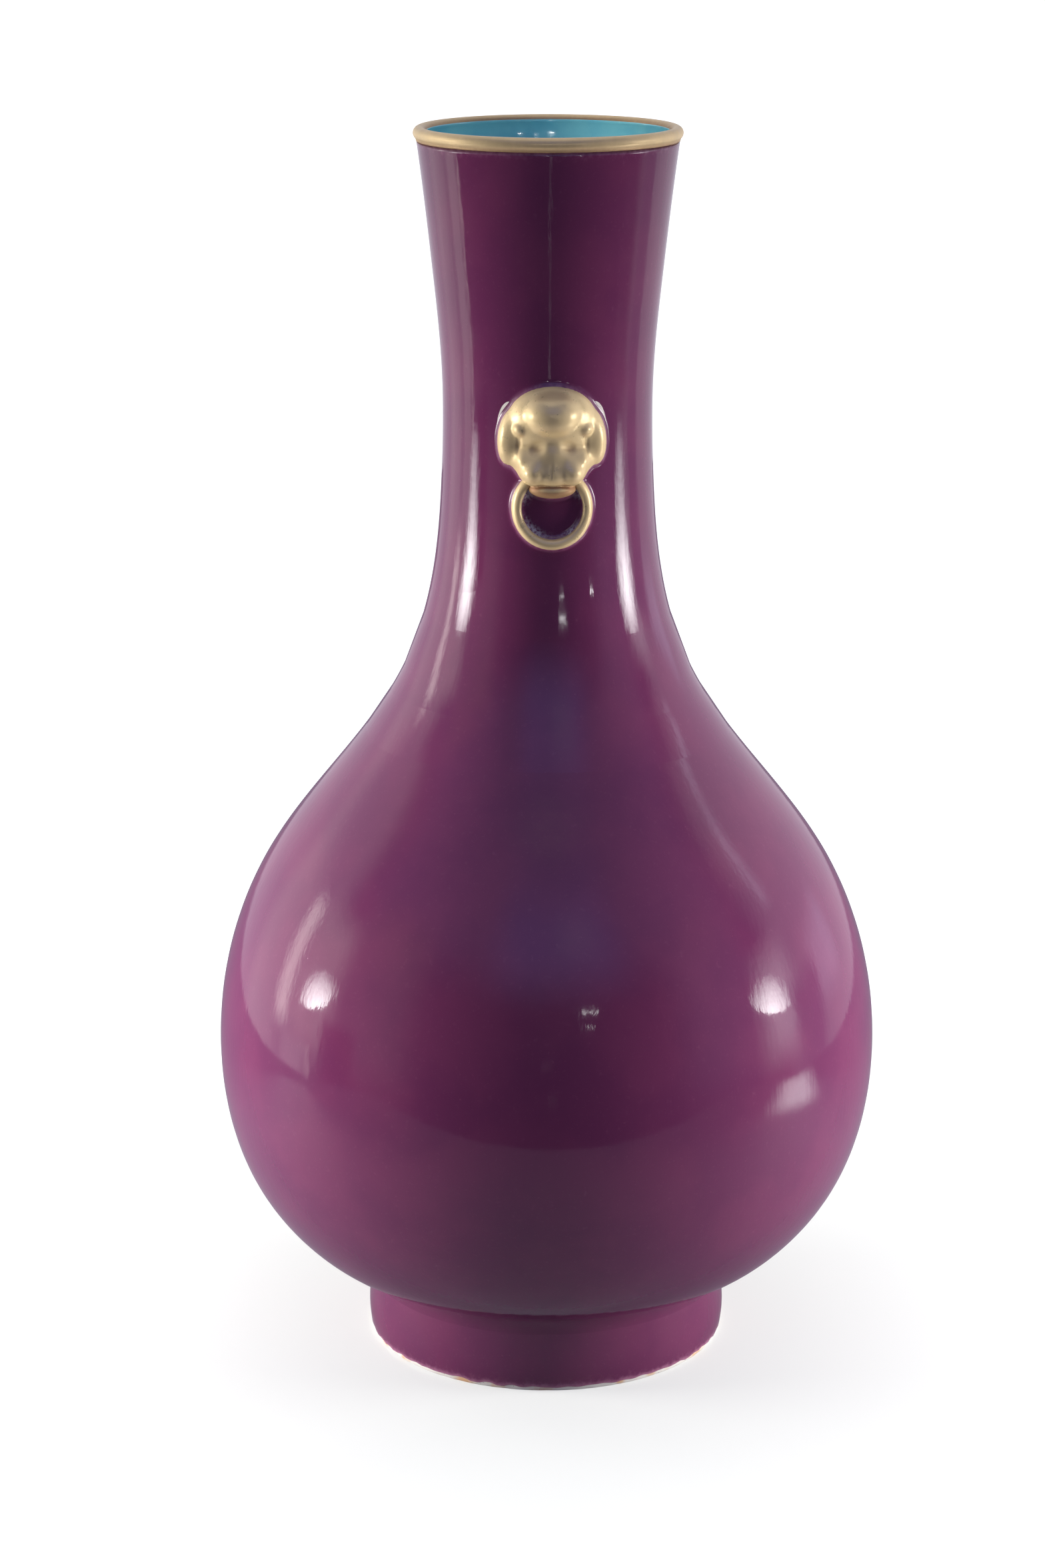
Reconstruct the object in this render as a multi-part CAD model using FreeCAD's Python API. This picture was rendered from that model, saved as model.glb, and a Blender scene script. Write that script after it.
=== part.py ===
"""A porcelain bottle vase with a gilt rolled lip and two gilt animal masks holding rings.

The vase stands on the XY plane with its axis on +Z. The front mask faces -Y. Sizes are millimetres.
The clay is thrown in sections that are luted together with slip, and then glazed inside and out.
"""

import FreeCAD, Part
import math
import os

from FreeCAD import Base, Placement, Rotation, Vector

# ---- driving dimensions -------------------------------------------------------------------------

HEIGHT = 400.0            # foot's resting plane to the top of the lip
GLAZE = 0.5               # thickness of each glaze coat
SLIP = 0.5                # thickness of the slip in a luted seam or under a mask

# The glazed outside, as (radius, height): out from the foot, round the belly and up the neck.
OUTLINE = [
    (59.0, 26.5), (73.0, 31.0), (86.0, 41.2), (98.1, 58.0), (105.5, 79.0), (107.9, 102.0),
    (104.5, 132.0), (91.8, 164.0), (68.1, 196.0), (46.4, 228.0), (36.6, 260.0), (33.7, 292.0),
    (33.5, 324.0), (36.3, 356.0), (39.0, 380.0), (41.0, 395.6),
]

# Seams between the thrown sections, at the underside of the slip.
FOOT_SEAM = 23.0
BELLY_SEAM = 102.0
SHOULDER_SEAM = 212.0
NECK_SEAM = 340.0

# Clay wall, as (height, thickness): heavy in the bowl and thin at the mouth.
WALL = [(26.5, 6.5), (102.0, 5.5), (212.0, 4.5), (360.0, 3.4), (395.6, 2.0)]
FLOOR_TOP = 31.0          # inside of the bowl, at the middle
FLOOR_EASE = 2.0          # the wall curves into the floor from this height above it
FLOOR_SPREAD = 3.0        # and runs in by this much for each unit that it drops

# Foot ring, glazed outside down to a bare resting edge.
FOOT_OUTER = 59.7         # glazed radius where the foot is widest
FOOT_WIDEST = 8.0         # height of that line
FOOT_WAIST = 58.9         # glazed radius under the bowl
FOOT_LOW = 59.1           # glazed radius at the bare edge
BARE_EDGE = 1.5           # height of the unglazed strip
FOOT_REST_OUTER = 58.2    # resting face
FOOT_REST_INNER = 54.5
FOOT_INNER = 53.4         # wall of the recess
FOOT_BEVEL = 1.2          # height of the bevel inside the resting face
RECESS_GLAZE_LOW = 4.0    # the recess is bare below this

# Rolled lip.
LIP_ROLL = 2.05           # radius of the roll's section
LIP_CENTRE = 39.95        # radius of the roll's centre line
LIP_OUTER = 41.6          # the skirt under the roll is this wide inside the roll
LIP_INNER = 38.1          # and this narrow

# Mock ring, bent to follow the neck.
RING_CENTRE_Z = 286.2
RING_RADIUS = 11.1        # centre line, seen from the front
RING_TUBE = 1.65          # radius of the ring's section
RING_END = math.radians(60)   # how far above its widest line each end runs, inside the mouth
RING_STANDOFF = 1.7       # centre line to the clay of the neck, so the ring is bedded in the glaze

# Mask, as ellipsoids: (x, height, projection of the centre from the clay, half sizes x, y, z).
# Those with x above zero are mirrored.
MASK_MIDDLE = [
    (0.0, 313.2, -1.0, 13.6, 9.0, 11.6),      # forehead
    (0.0, 300.0, 1.2, 6.4, 9.2, 5.4),         # bridge and nose
    (0.0, 292.6, 0.6, 8.0, 5.6, 3.4),         # lower jaw
]
MASK_PAIRS = [
    (12.6, 309.2, -0.6, 4.6, 4.0, 10.2),      # drooping ear
    (7.6, 308.6, 2.6, 4.8, 4.4, 2.4),         # brow
    (5.6, 298.0, 1.8, 5.0, 7.4, 4.3),         # muzzle
    (8.2, 303.6, 0.2, 3.4, 4.6, 4.4),         # cheek
]

TURN_SEGMENTS = 28        # stations along an offset outline
RING_STATIONS = 8         # spans along half a ring


# ---- outlines -----------------------------------------------------------------------------------

def spline(points):
    """Smooth curve in the XZ half plane through (radius, height) points."""
    curve = Part.BSplineCurve()
    curve.interpolate([Vector(r, 0, z) for r, z in points])
    return curve


def wall_at(height):
    """Clay wall thickness at a height, straight between the WALL stations."""
    for (z0, t0), (z1, t1) in zip(WALL, WALL[1:]):
        if height <= z1:
            share = max(0.0, (height - z0) / (z1 - z0))
            return t0 + share * (t1 - t0)
    return WALL[-1][1]


def inset(curve, depth_at):
    """(radius, height) points inside a curve that runs upwards, depth_at(height) along its normal."""
    start, end = curve.FirstParameter, curve.LastParameter
    points = []
    for i in range(TURN_SEGMENTS + 1):
        at = start + (end - start) * i / TURN_SEGMENTS
        point = curve.value(at)
        along = curve.tangent(at)[0]
        depth = depth_at(point.z)
        points.append((point.x - along.z * depth, point.z + along.x * depth))
    return points


def line(start, end):
    return Part.LineSegment(Vector(start[0], 0, start[1]), Vector(end[0], 0, end[1])).toShape()


def polyline(points):
    return [line(a, b) for a, b in zip(points, points[1:])]


def revolve(edges):
    """Solid of revolution about +Z from the closed outline made by the edges."""
    face = Part.Face(Part.Wire(Part.__sortEdges__(edges)))
    return face.revolve(Vector(0, 0, 0), Vector(0, 0, 1), 360)


def solid_of(shape):
    """The one solid in a shape, or a compound of its solids where it has several."""
    if len(shape.Solids) == 1:
        return shape.Solids[0]
    return Part.makeCompound(shape.Solids)


def slab(low, high):
    """A disc wider than the vase, between two heights."""
    return Part.makeCylinder(HEIGHT / 2, high - low, Vector(0, 0, low))


# ---- the vessel ---------------------------------------------------------------------------------

outside = spline(OUTLINE)
clay_points = inset(outside, lambda z: GLAZE)
inside_points = inset(outside, lambda z: GLAZE + wall_at(z))
lining_points = inset(outside, lambda z: 2 * GLAZE + wall_at(z))


def cavity(points, top):
    """Edges of the inside: a flat floor from the axis, and then the curved wall up to the mouth."""
    wall = [p for p in points if p[1] > top + FLOOR_EASE]
    radius, height = wall[0]
    corner = (radius - FLOOR_SPREAD * (height - top), top)
    return [line((0, top), corner), spline([corner] + wall).toShape()]


def clay_body():
    """The whole clay vessel above the foot seam, lip not included."""
    base = FOOT_SEAM + SLIP
    outer = [(FOOT_WAIST - GLAZE, base), clay_points[0]]
    edges = polyline([(0, FLOOR_TOP), (0, base), outer[0], outer[1]])
    edges.append(spline(clay_points).toShape())
    edges.append(line(clay_points[-1], inside_points[-1]))
    return revolve(edges + cavity(inside_points, FLOOR_TOP))


def clay_core(swell=0.0):
    """The clay body filled solid, made thicker by swell: what masks and rings lie against."""
    points = inset(outside, lambda z: GLAZE - swell)
    edges = [spline(points).toShape()]
    edges += polyline([points[-1], (0, points[-1][1]), (0, points[0][1]), points[0]])
    return revolve(edges)


def foot_outline(depth):
    """The foot ring's outside, depth inside the glazed surface, from the bare edge up to the bowl."""
    return [
        (FOOT_LOW - depth, BARE_EDGE),
        (FOOT_OUTER - depth, FOOT_WIDEST),
        ((FOOT_OUTER + FOOT_WAIST) / 2 - depth, (FOOT_WIDEST + FOOT_SEAM) / 2),
        (FOOT_WAIST - depth, FOOT_SEAM),
    ]


def foot_ring():
    outer = foot_outline(GLAZE)
    edges = [spline(outer).toShape()]
    edges += polyline([
        outer[-1], (FOOT_INNER, FOOT_SEAM), (FOOT_INNER, FOOT_BEVEL),
        (FOOT_REST_INNER, 0), (FOOT_REST_OUTER, 0), outer[0],
    ])
    return revolve(edges)


def foot_slip():
    ring = slab(FOOT_SEAM, FOOT_SEAM + SLIP).common(Part.makeCylinder(FOOT_WAIST - GLAZE, HEIGHT))
    return ring.cut(Part.makeCylinder(FOOT_INNER, HEIGHT))


def outer_glaze():
    """Purple coat, from the bare edge of the foot up to the lip."""
    skin, clay = foot_outline(0), foot_outline(GLAZE)
    low, high = (FOOT_WAIST, FOOT_SEAM), (FOOT_WAIST - GLAZE, FOOT_SEAM)
    edges = [
        line(clay[0], skin[0]), spline(skin).toShape(), line(low, OUTLINE[0]), outside.toShape(),
        line(OUTLINE[-1], clay_points[-1]), spline(clay_points).toShape(),
        line(clay_points[0], high), spline(clay).toShape(),
    ]
    return revolve(edges)


def inner_glaze():
    """Turquoise coat, over the floor and up the wall to the lip."""
    edges = cavity(inside_points, FLOOR_TOP) + cavity(lining_points, FLOOR_TOP + GLAZE)
    edges.append(line((0, FLOOR_TOP), (0, FLOOR_TOP + GLAZE)))
    edges.append(line(inside_points[-1], lining_points[-1]))
    return revolve(edges)


def recess_glaze():
    """Coat on the ceiling of the foot's recess and down most of its wall."""
    top = FOOT_SEAM + SLIP
    inner = FOOT_INNER - GLAZE
    return revolve(polyline([
        (0, top), (0, top - GLAZE), (inner, top - GLAZE), (inner, RECESS_GLAZE_LOW),
        (FOOT_INNER, RECESS_GLAZE_LOW), (FOOT_INNER, top), (0, top),
    ]))


def lip_roll():
    """The gilt roll, with a short skirt that joins it to the coats of the mouth."""
    middle = HEIGHT - LIP_ROLL
    circle = Part.Wire(Part.Circle(Vector(LIP_CENTRE, 0, middle), Vector(0, 1, 0), LIP_ROLL).toShape())
    roll = Part.Face(circle).revolve(Vector(0, 0, 0), Vector(0, 0, 1), 360)
    skirt = revolve(polyline([
        OUTLINE[-1], (LIP_OUTER, middle), (LIP_INNER, middle), lining_points[-1], OUTLINE[-1],
    ]))
    return solid_of(roll.fuse(skirt).removeSplitter())


# ---- masks and rings ----------------------------------------------------------------------------

def clay_radius(height):
    """Radius of the neck's clay at a height."""
    for (r0, z0), (r1, z1) in zip(clay_points, clay_points[1:]):
        if z0 <= height <= z1:
            return r0 + (r1 - r0) * (height - z0) / (z1 - z0)
    return clay_points[-1][0]


def ellipsoid(x, height, projection, half_x, half_y, half_z):
    """An ellipsoid on the front of the neck, turned to face out from the axis."""
    matrix = Base.Matrix()
    matrix.scale(half_x, half_y, half_z)
    ball = Part.makeSphere(1.0).transformGeometry(matrix)
    radius = clay_radius(height) + projection
    turn = math.degrees(math.asin(x / radius))
    ball.Placement = Placement(Vector(x, -math.sqrt(radius * radius - x * x), height), Rotation(turn, 0, 0))
    return ball


def mask_body():
    """The front mask before its back is cut to the neck."""
    lumps = [ellipsoid(*lump) for lump in MASK_MIDDLE]
    for x, *rest in MASK_PAIRS:
        lumps.append(ellipsoid(x, *rest))
        lumps.append(ellipsoid(-x, *rest))
    body = lumps[0]
    for lump in lumps[1:]:
        body = body.fuse(lump)
    return body


def ring_body():
    """The front ring: a round section swept along a circle that is wrapped on the neck.

    Its right half runs from the bottom up into the mouth, and the left half is the mirror image."""
    points = []
    for i in range(RING_STATIONS + 1):
        angle = -math.pi / 2 + (math.pi / 2 + RING_END) * i / RING_STATIONS
        x = RING_RADIUS * math.cos(angle)
        z = RING_CENTRE_Z + RING_RADIUS * math.sin(angle)
        radius = clay_radius(z) + RING_STANDOFF
        points.append(Vector(x, -math.sqrt(radius * radius - x * x), z))
    path = Part.BSplineCurve()
    path.interpolate(points)
    section = Part.Circle(points[0], Vector(1, 0, 0), RING_TUBE).toShape()
    half = Part.Wire(path.toShape()).makePipeShell([Part.Wire(section)], True, False)
    return half.fuse(half.mirror(Vector(0, 0, 0), Vector(1, 0, 0))).removeSplitter()


def to_back(shape):
    """The same shape on the back of the neck."""
    turned = shape.copy()
    turned.rotate(Vector(0, 0, 0), Vector(0, 0, 1), 180)
    return turned


# ---- the pieces ---------------------------------------------------------------------------------

def build():
    """Every piece of the vase as {name: shape}."""
    clay = clay_body()
    core, slip_core = clay_core(), clay_core(SLIP)
    lumps = mask_body()
    mask = lumps.cut(slip_core)
    mask_slip = lumps.common(slip_core.cut(core))
    whole_ring = ring_body()
    ring = whole_ring.cut(lumps)
    coat = outer_glaze()
    for fitting in (lumps, whole_ring, to_back(lumps), to_back(whole_ring)):
        coat = coat.cut(fitting)
    pieces = {
        "foot_ring": foot_ring(),
        "foot_slip": foot_slip(),
        "lower_bowl": clay.common(slab(0, BELLY_SEAM)),
        "belly_slip": clay.common(slab(BELLY_SEAM, BELLY_SEAM + SLIP)),
        "upper_bowl": clay.common(slab(BELLY_SEAM + SLIP, SHOULDER_SEAM)),
        "shoulder_slip": clay.common(slab(SHOULDER_SEAM, SHOULDER_SEAM + SLIP)),
        "neck_tube": clay.common(slab(SHOULDER_SEAM + SLIP, NECK_SEAM)),
        "neck_slip": clay.common(slab(NECK_SEAM, NECK_SEAM + SLIP)),
        "neck_mouth": clay.common(slab(NECK_SEAM + SLIP, HEIGHT)),
        "lip_roll": lip_roll(),
        "outer_glaze": coat,
        "inner_glaze": inner_glaze(),
        "recess_glaze": recess_glaze(),
    }
    for name, shape in (("mask", mask), ("mask_slip", mask_slip), ("ring", ring)):
        pieces["front_" + name] = shape
        pieces["back_" + name] = to_back(shape)
    return pieces


def main():
    os.makedirs("parts", exist_ok=True)
    for name, shape in build().items():
        solid = solid_of(shape)
        count, volume = len(solid.Solids), solid.Volume / 1000
        print(f"{name:16s} solids {count}  valid {solid.isValid()}  {volume:8.2f} cm3")
        solid.exportStep(f"parts/{name}.step")


main()
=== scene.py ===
"""Looks of a porcelain bottle vase with a gilt lip and two gilt animal masks holding rings.

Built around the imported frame: metres, +Z up, the front mask faces -Y. The turned surfaces follow the
outlines of the frame's own nodes. The masks are sculpted as one distance field of blended ellipsoids,
written in millimetres on the neck, and the glaze climbs a little way up every fitting it meets.
"""
import math
import bpy
import numpy as np
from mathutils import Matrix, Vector


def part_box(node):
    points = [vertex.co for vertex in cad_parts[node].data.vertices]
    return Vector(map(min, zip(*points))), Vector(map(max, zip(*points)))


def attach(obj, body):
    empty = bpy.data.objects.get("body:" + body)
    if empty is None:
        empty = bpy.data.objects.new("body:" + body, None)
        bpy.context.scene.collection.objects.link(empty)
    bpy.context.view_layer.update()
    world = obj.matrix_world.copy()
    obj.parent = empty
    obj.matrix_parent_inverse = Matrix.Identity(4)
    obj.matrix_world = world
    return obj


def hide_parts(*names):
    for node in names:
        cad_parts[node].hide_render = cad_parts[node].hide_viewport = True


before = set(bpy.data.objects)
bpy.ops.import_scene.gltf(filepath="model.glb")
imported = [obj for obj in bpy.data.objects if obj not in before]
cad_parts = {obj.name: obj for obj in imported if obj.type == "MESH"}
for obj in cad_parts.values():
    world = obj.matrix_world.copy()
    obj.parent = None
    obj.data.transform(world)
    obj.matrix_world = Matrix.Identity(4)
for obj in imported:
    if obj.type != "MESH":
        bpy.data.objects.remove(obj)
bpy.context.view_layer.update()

MM = 0.001
FRONT = -math.pi / 2          # azimuth of the front mask, from +X
BODY = "root"


# ---- outlines of the turned nodes ---------------------------------------------------------------

SIDEWAYS = 0.3                # most that a face used may lie off the XZ plane, as a share of its x
FACING = 0.2                  # least share of its normal that faces out or in


def node_outline(name, side):
    """Sorted (radius, height) stations of one face of a turned CAD node, outer side 1 or inner side -1.

    Only faces near the XZ plane count, because those are clear of the masks and rings."""
    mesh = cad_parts[name].data
    stations = {}
    for face in mesh.polygons:
        x, y, _ = face.center
        radial = math.hypot(x, y)
        outward = (face.normal.x * x + face.normal.y * y) * side
        if abs(y) > SIDEWAYS * abs(x) or outward < FACING * radial:
            continue
        for index in face.vertices:
            point = mesh.vertices[index].co
            stations[round(point.z, 5)] = math.hypot(point.x, point.y)
    heights = sorted(stations)
    return np.array([(stations[z], z) for z in heights])


def thin_out(points, gap):
    """The stations that are at least gap apart, with both ends kept."""
    kept = [points[0]]
    for point in points[1:-1]:
        if np.linalg.norm(point - kept[-1]) > gap and np.linalg.norm(points[-1] - point) > gap:
            kept.append(point)
    return np.array(kept + [points[-1]])


class Spline:
    """Natural cubic spline through points, by length along their chords."""

    def __init__(self, points):
        self.points = np.asarray(points, float)
        steps = np.linalg.norm(np.diff(self.points, axis=0), axis=1)
        self.at = np.concatenate([[0.0], np.cumsum(steps)])
        n = len(self.points)
        matrix, right = np.eye(n), np.zeros_like(self.points)
        for i in range(1, n - 1):
            matrix[i, i - 1:i + 2] = steps[i - 1], 2 * (steps[i - 1] + steps[i]), steps[i]
            slope = np.diff(self.points[i - 1:i + 2], axis=0) / steps[i - 1:i + 1, None]
            right[i] = 6 * (slope[1] - slope[0])
        self.bend = np.linalg.solve(matrix, right)

    def __call__(self, t):
        t = np.clip(np.asarray(t, float), 0, self.at[-1])
        i = np.clip(np.searchsorted(self.at, t) - 1, 0, len(self.at) - 2)
        step = (self.at[i + 1] - self.at[i])[..., None]
        a = (self.at[i + 1] - t)[..., None] / step
        b = 1 - a
        curve = (a ** 3 - a) * self.bend[i] + (b ** 3 - b) * self.bend[i + 1]
        return a * self.points[i] + b * self.points[i + 1] + curve * step ** 2 / 6

    @property
    def length(self):
        return self.at[-1]


# ---- mesh making --------------------------------------------------------------------------------

def mesh_piece(name, vertices, faces, material, replaces):
    """A smooth-shaded mesh piece that rides on the vase and stands for CAD nodes."""
    mesh = bpy.data.meshes.new(name)
    mesh.from_pydata(np.asarray(vertices, float).tolist(), [], faces)
    mesh.polygons.foreach_set("use_smooth", [True] * len(mesh.polygons))
    mesh.update()
    piece = bpy.data.objects.new(name, mesh)
    bpy.context.scene.collection.objects.link(piece)
    mesh.materials.append(material)
    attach(piece, BODY)
    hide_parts(*replaces)
    return piece


def paint(piece, name, values):
    """A number at each vertex, for the material to read."""
    layer = piece.data.attributes.new(name, "FLOAT", "POINT")
    layer.data.foreach_set("value", np.asarray(values, np.float32).ravel())


def turned(outline, around):
    """Grid of points: (radius, height) stations turned to each azimuth around the axis."""
    radius, height = outline[:, 0][:, None], outline[:, 1][:, None]
    flat = np.ones((1, len(around)))
    return np.stack([radius * np.cos(around), radius * np.sin(around), height * flat], -1)


def grid_faces(rows, columns, closed_rows=False):
    """Quads of a grid that wraps round its columns, and round its rows if closed_rows."""
    faces = []
    for i in range(rows if closed_rows else rows - 1):
        low, high = i * columns, (i + 1) % rows * columns
        for j in range(columns):
            k = (j + 1) % columns
            faces.append((low + j, low + k, high + k, high + j))
    return faces


def net(field, corner, step):
    """Vertices and outward quads of field = 0 on a regular grid, one vertex in each crossed cell."""
    size = np.array(field.shape)
    inside = field < 0
    count = np.zeros(size - 1, np.int8)
    for i in (0, 1):
        for j in (0, 1):
            for k in (0, 1):
                count += inside[i:size[0] - 1 + i, j:size[1] - 1 + j, k:size[2] - 1 + k]
    crossed = (count > 0) & (count < 8)
    number = np.full(crossed.shape, -1)
    number[crossed] = np.arange(crossed.sum())
    cells = np.argwhere(crossed)
    total, hits = np.zeros((len(cells), 3)), np.zeros((len(cells), 1))
    unit = np.eye(3, dtype=int)
    for axis in range(3):
        side, up = unit[(axis + 1) % 3], unit[(axis + 2) % 3]
        for start in (cells, cells + side, cells + up, cells + side + up):
            near = field[tuple(start.T)]
            far = field[tuple((start + unit[axis]).T)]
            cross = (near < 0) != (far < 0)
            share = (near[cross] / (near[cross] - far[cross]))[:, None]
            total[cross] += start[cross] + share * unit[axis]
            hits[cross] += 1
    faces = []
    for axis in range(3):
        side, up = unit[(axis + 1) % 3], unit[(axis + 2) % 3]
        first = inside[tuple(slice(0, -1) if a == axis else slice(None) for a in range(3))]
        second = inside[tuple(slice(1, None) if a == axis else slice(None) for a in range(3))]
        edge = np.argwhere(first != second)
        room = np.all((edge >= side + up) & (edge < size - 1), axis=1)
        edge = edge[room]
        quad = np.stack([number[tuple((edge - d).T)] for d in (0 * side, side, side + up, up)], 1)
        leaving = first[tuple(edge.T)]
        faces += quad[leaving].tolist() + quad[~leaving][:, ::-1].tolist()
    return corner + step * total / hits, faces


# ---- distances, in millimetres ------------------------------------------------------------------

FOOT_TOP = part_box("foot_ring")[1].z + 1 * MM     # the body's outline starts above this
GLAZE_STATIONS = node_outline("outer_glaze", 1)
FOOT_LINE = Spline(thin_out(GLAZE_STATIONS[GLAZE_STATIONS[:, 1] < FOOT_TOP], 4 * MM))
BODY_LINE = Spline(thin_out(GLAZE_STATIONS[GLAZE_STATIONS[:, 1] > FOOT_TOP], 7 * MM))
FINE_BODY = BODY_LINE(np.linspace(0, BODY_LINE.length, 800))


def neck_radius(height):
    """Glazed radius of the body at a height, both in millimetres."""
    return np.interp(height, FINE_BODY[:, 1] / MM, FINE_BODY[:, 0] / MM)


def smooth_min(a, b, reach):
    """The smaller of two distances, rounded over where they differ by less than reach."""
    h = np.maximum(reach - np.abs(a - b), 0) / reach
    return np.minimum(a, b) - h * h * reach / 4


def smooth_max(a, b, reach):
    """The larger of two distances, rounded in the same way."""
    return -smooth_min(-a, -b, reach)


def blob(p, x, z, out, half, tilt=0.0, lean=0.0):
    """Distance to an ellipsoid that faces out from the neck.

    x and z place it seen from the front, out is its centre beyond the glaze, half its half sizes
    across, outwards and up. tilt turns it in the plane of the neck and lean tips its top outwards."""
    radius = neck_radius(z) + out
    turn = math.asin(x / radius)
    dx, dy, w = p[..., 0] - x, p[..., 1] + radius * math.cos(turn), p[..., 2] - z
    u = dx * math.cos(turn) + dy * math.sin(turn)
    v = dx * math.sin(turn) - dy * math.cos(turn)
    c, s = math.cos(math.radians(tilt)), math.sin(math.radians(tilt))
    u, w = c * u + s * w, c * w - s * u
    c, s = math.cos(math.radians(lean)), math.sin(math.radians(lean))
    v, w = c * v - s * w, c * w + s * v
    scaled = np.sqrt((u / half[0]) ** 2 + (v / half[1]) ** 2 + (w / half[2]) ** 2)
    slope = np.sqrt((u / half[0] ** 2) ** 2 + (v / half[1] ** 2) ** 2 + (w / half[2] ** 2) ** 2)
    return scaled * (scaled - 1) / np.maximum(slope, 1e-6)


def pair(p, x, *rest, tilt=0.0, lean=0.0):
    """The same blob on both sides of the face."""
    right = blob(p, x, *rest, tilt=tilt, lean=lean)
    return np.minimum(right, blob(p, -x, *rest, tilt=-tilt, lean=lean))


MASK_LOW, MASK_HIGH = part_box("front_mask")
MASK_Z = (MASK_LOW.z + MASK_HIGH.z) / 2 / MM
RING_LOW, RING_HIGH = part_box("front_ring")
RING_TUBE = 1.65
RING_RADIUS = RING_HIGH.x / MM - RING_TUBE
RING_Z = RING_LOW.z / MM + RING_TUBE + RING_RADIUS
RING_OUT = 0.75               # the ring's centre line beyond the glaze
RING_SQUEEZE = 0.985          # the ring is a little wider than it is tall
CLAY_FACE = 0.45              # the fittings go this far under the face of the glaze
JAW_LINE = -14.2              # the line of the mask's mouth, from the mask's middle
JAW_SHADE, EYE_SHADE = 0.75, 0.32        # how dark the painted shade on the jaw and in the eye sockets is, from 0 to 1
EYE_X, EYE_Z = 5.4, -1.7      # the middle of an eye socket, from the mask's middle


def mask_distance(p):
    """The animal's head: a domed brow over sunk eyes, a two-lobed snout, a lower jaw and hanging ears."""
    z = MASK_Z
    crown = blob(p, 0, z + 6.7, -1.7, (12.6, 9.0, 10.8))
    cape = smooth_min(blob(p, 0, z + 1.6, -1.9, (14.8, 5.0, 15.6)), crown, 3.0)
    ears = pair(p, 12.8, z + 0.4, -0.9, (3.9, 4.7, 8.4), tilt=4)
    head = smooth_min(cape, ears, 2.4)
    grooves = pair(p, 11.3, z - 4.0, 5.6, (0.6, 2.6, 6.2), tilt=5)
    head = smooth_max(head, -grooves, 1.1)
    face = blob(p, 0, z - 4.6, -0.9, (10.0, 7.2, 7.2))
    head = smooth_min(head, face, 1.2)
    corners = pair(p, 9.3, z + 4.3, 2.4, (3.0, 3.6, 2.6))
    brow = smooth_min(blob(p, 0, z + 8.4, -0.5, (9.9, 10.5, 7.8)), corners, 2.2)
    head = smooth_min(head, brow, 0.6)
    sockets = pair(p, EYE_X, z - 1.2, 7.7, (3.5, 3.1, 1.9), tilt=-8)
    head = smooth_max(head, -sockets, 1.6)
    bridge = blob(p, 0, z - 3.8, 0.5, (4.2, 5.5, 5.0), lean=-8)
    head = smooth_min(head, bridge, 3.0)
    muzzle = pair(p, 5.0, z - 9.0, 0.4, (5.1, 7.9, 4.7))
    cheeks = pair(p, 8.2, z - 5.6, 0.4, (2.6, 5.0, 2.8))
    muzzle = smooth_min(muzzle, cheeks, 2.0)
    muzzle = smooth_min(muzzle, blob(p, 0, z - 9.6, 0.4, (7.6, 7.3, 4.4)), 1.0)
    head = smooth_min(head, muzzle, 3.2)
    furrow = blob(p, -0.5, z - 7.0, 8.4, (0.5, 1.1, 4.2))
    head = smooth_max(head, -furrow, 0.7)
    jaw = blob(p, 0, z - 14.5, -0.6, (7.5, 6.2, 3.1))
    return smooth_min(head, jaw, 0.4)


def mask_painted_shade(points):
    """Painted shade, in brown, in the eye sockets and on the jaw under the curved line of the mouth, 0 to
    1.
    """
    across, up = np.abs(points[..., 0]), points[..., 2] - MASK_Z
    jaw = JAW_SHADE * np.clip((JAW_LINE + 0.02 * across ** 2 - up) / 0.8, 0, 1)
    return jaw + EYE_SHADE * np.exp(-((across - EYE_X) / 3.2) ** 2 - ((up - EYE_Z) / 1.8) ** 2)


def ring_distance(p):
    """A clay ring of round section that lies on the neck under the jaw."""
    radial = np.hypot(p[..., 0], p[..., 1])
    across = radial * np.arcsin(np.clip(p[..., 0] / radial, -1, 1)) * RING_SQUEEZE
    lift = radial - neck_radius(p[..., 2]) - RING_OUT
    centre = np.hypot(across, p[..., 2] - RING_Z) - RING_RADIUS
    return np.hypot(centre, lift) - RING_TUBE


def fittings_distance(p):
    """Distance to the mask or its ring, whichever is nearer."""
    return np.minimum(mask_distance(p), ring_distance(p))


def sculpt(distance, low, high, step):
    """Mesh, in millimetres, of a distance field kept to the outside of the clay."""
    sides = [np.arange(a, b, step) for a, b in zip(low, high)]
    points = np.stack(np.meshgrid(*sides, indexing="ij"), -1)

    def solid(p):
        back = neck_radius(p[..., 2]) - CLAY_FACE - np.hypot(p[..., 0], p[..., 1])
        return np.maximum(distance(p), back)

    vertices, faces = net(solid(points), np.array([s[0] for s in sides]), step)
    for _ in range(2):
        vertices = settle(solid, vertices)
    return vertices, faces


def settle(field, vertices):
    """Moves vertices onto field = 0 along its slope."""
    near, farthest, least_square = 0.02, 0.2, 0.2
    value = field(vertices)
    slope = np.stack([field(vertices + near * axis) - value for axis in np.eye(3)], -1) / near
    square = np.maximum((slope ** 2).sum(-1), least_square)
    move = np.clip(value / square, -farthest, farthest)
    return vertices - move[:, None] * slope


OPEN_SPACE = 0.84             # a vertex with this share of its reach free ahead is on an open surface
HOLLOW_GAIN = 1.6             # how fast hollowness rises as less than that is free


def hollowness(field, vertices, reach):
    """0 on open surfaces to 1 in recesses: how full the space just outside each vertex is. It sets the
    painted shade that browns the gilding in its recesses.
    """
    near = 0.05
    slope = np.stack([field(vertices + near * a) - field(vertices - near * a) for a in np.eye(3)], -1)
    normal = slope / np.maximum(np.linalg.norm(slope, axis=-1, keepdims=True), 1e-9)
    ahead = field(vertices + reach * normal)
    return np.clip(HOLLOW_GAIN * (OPEN_SPACE - ahead / reach), 0, 1)


# ---- materials ----------------------------------------------------------------------------------

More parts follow.
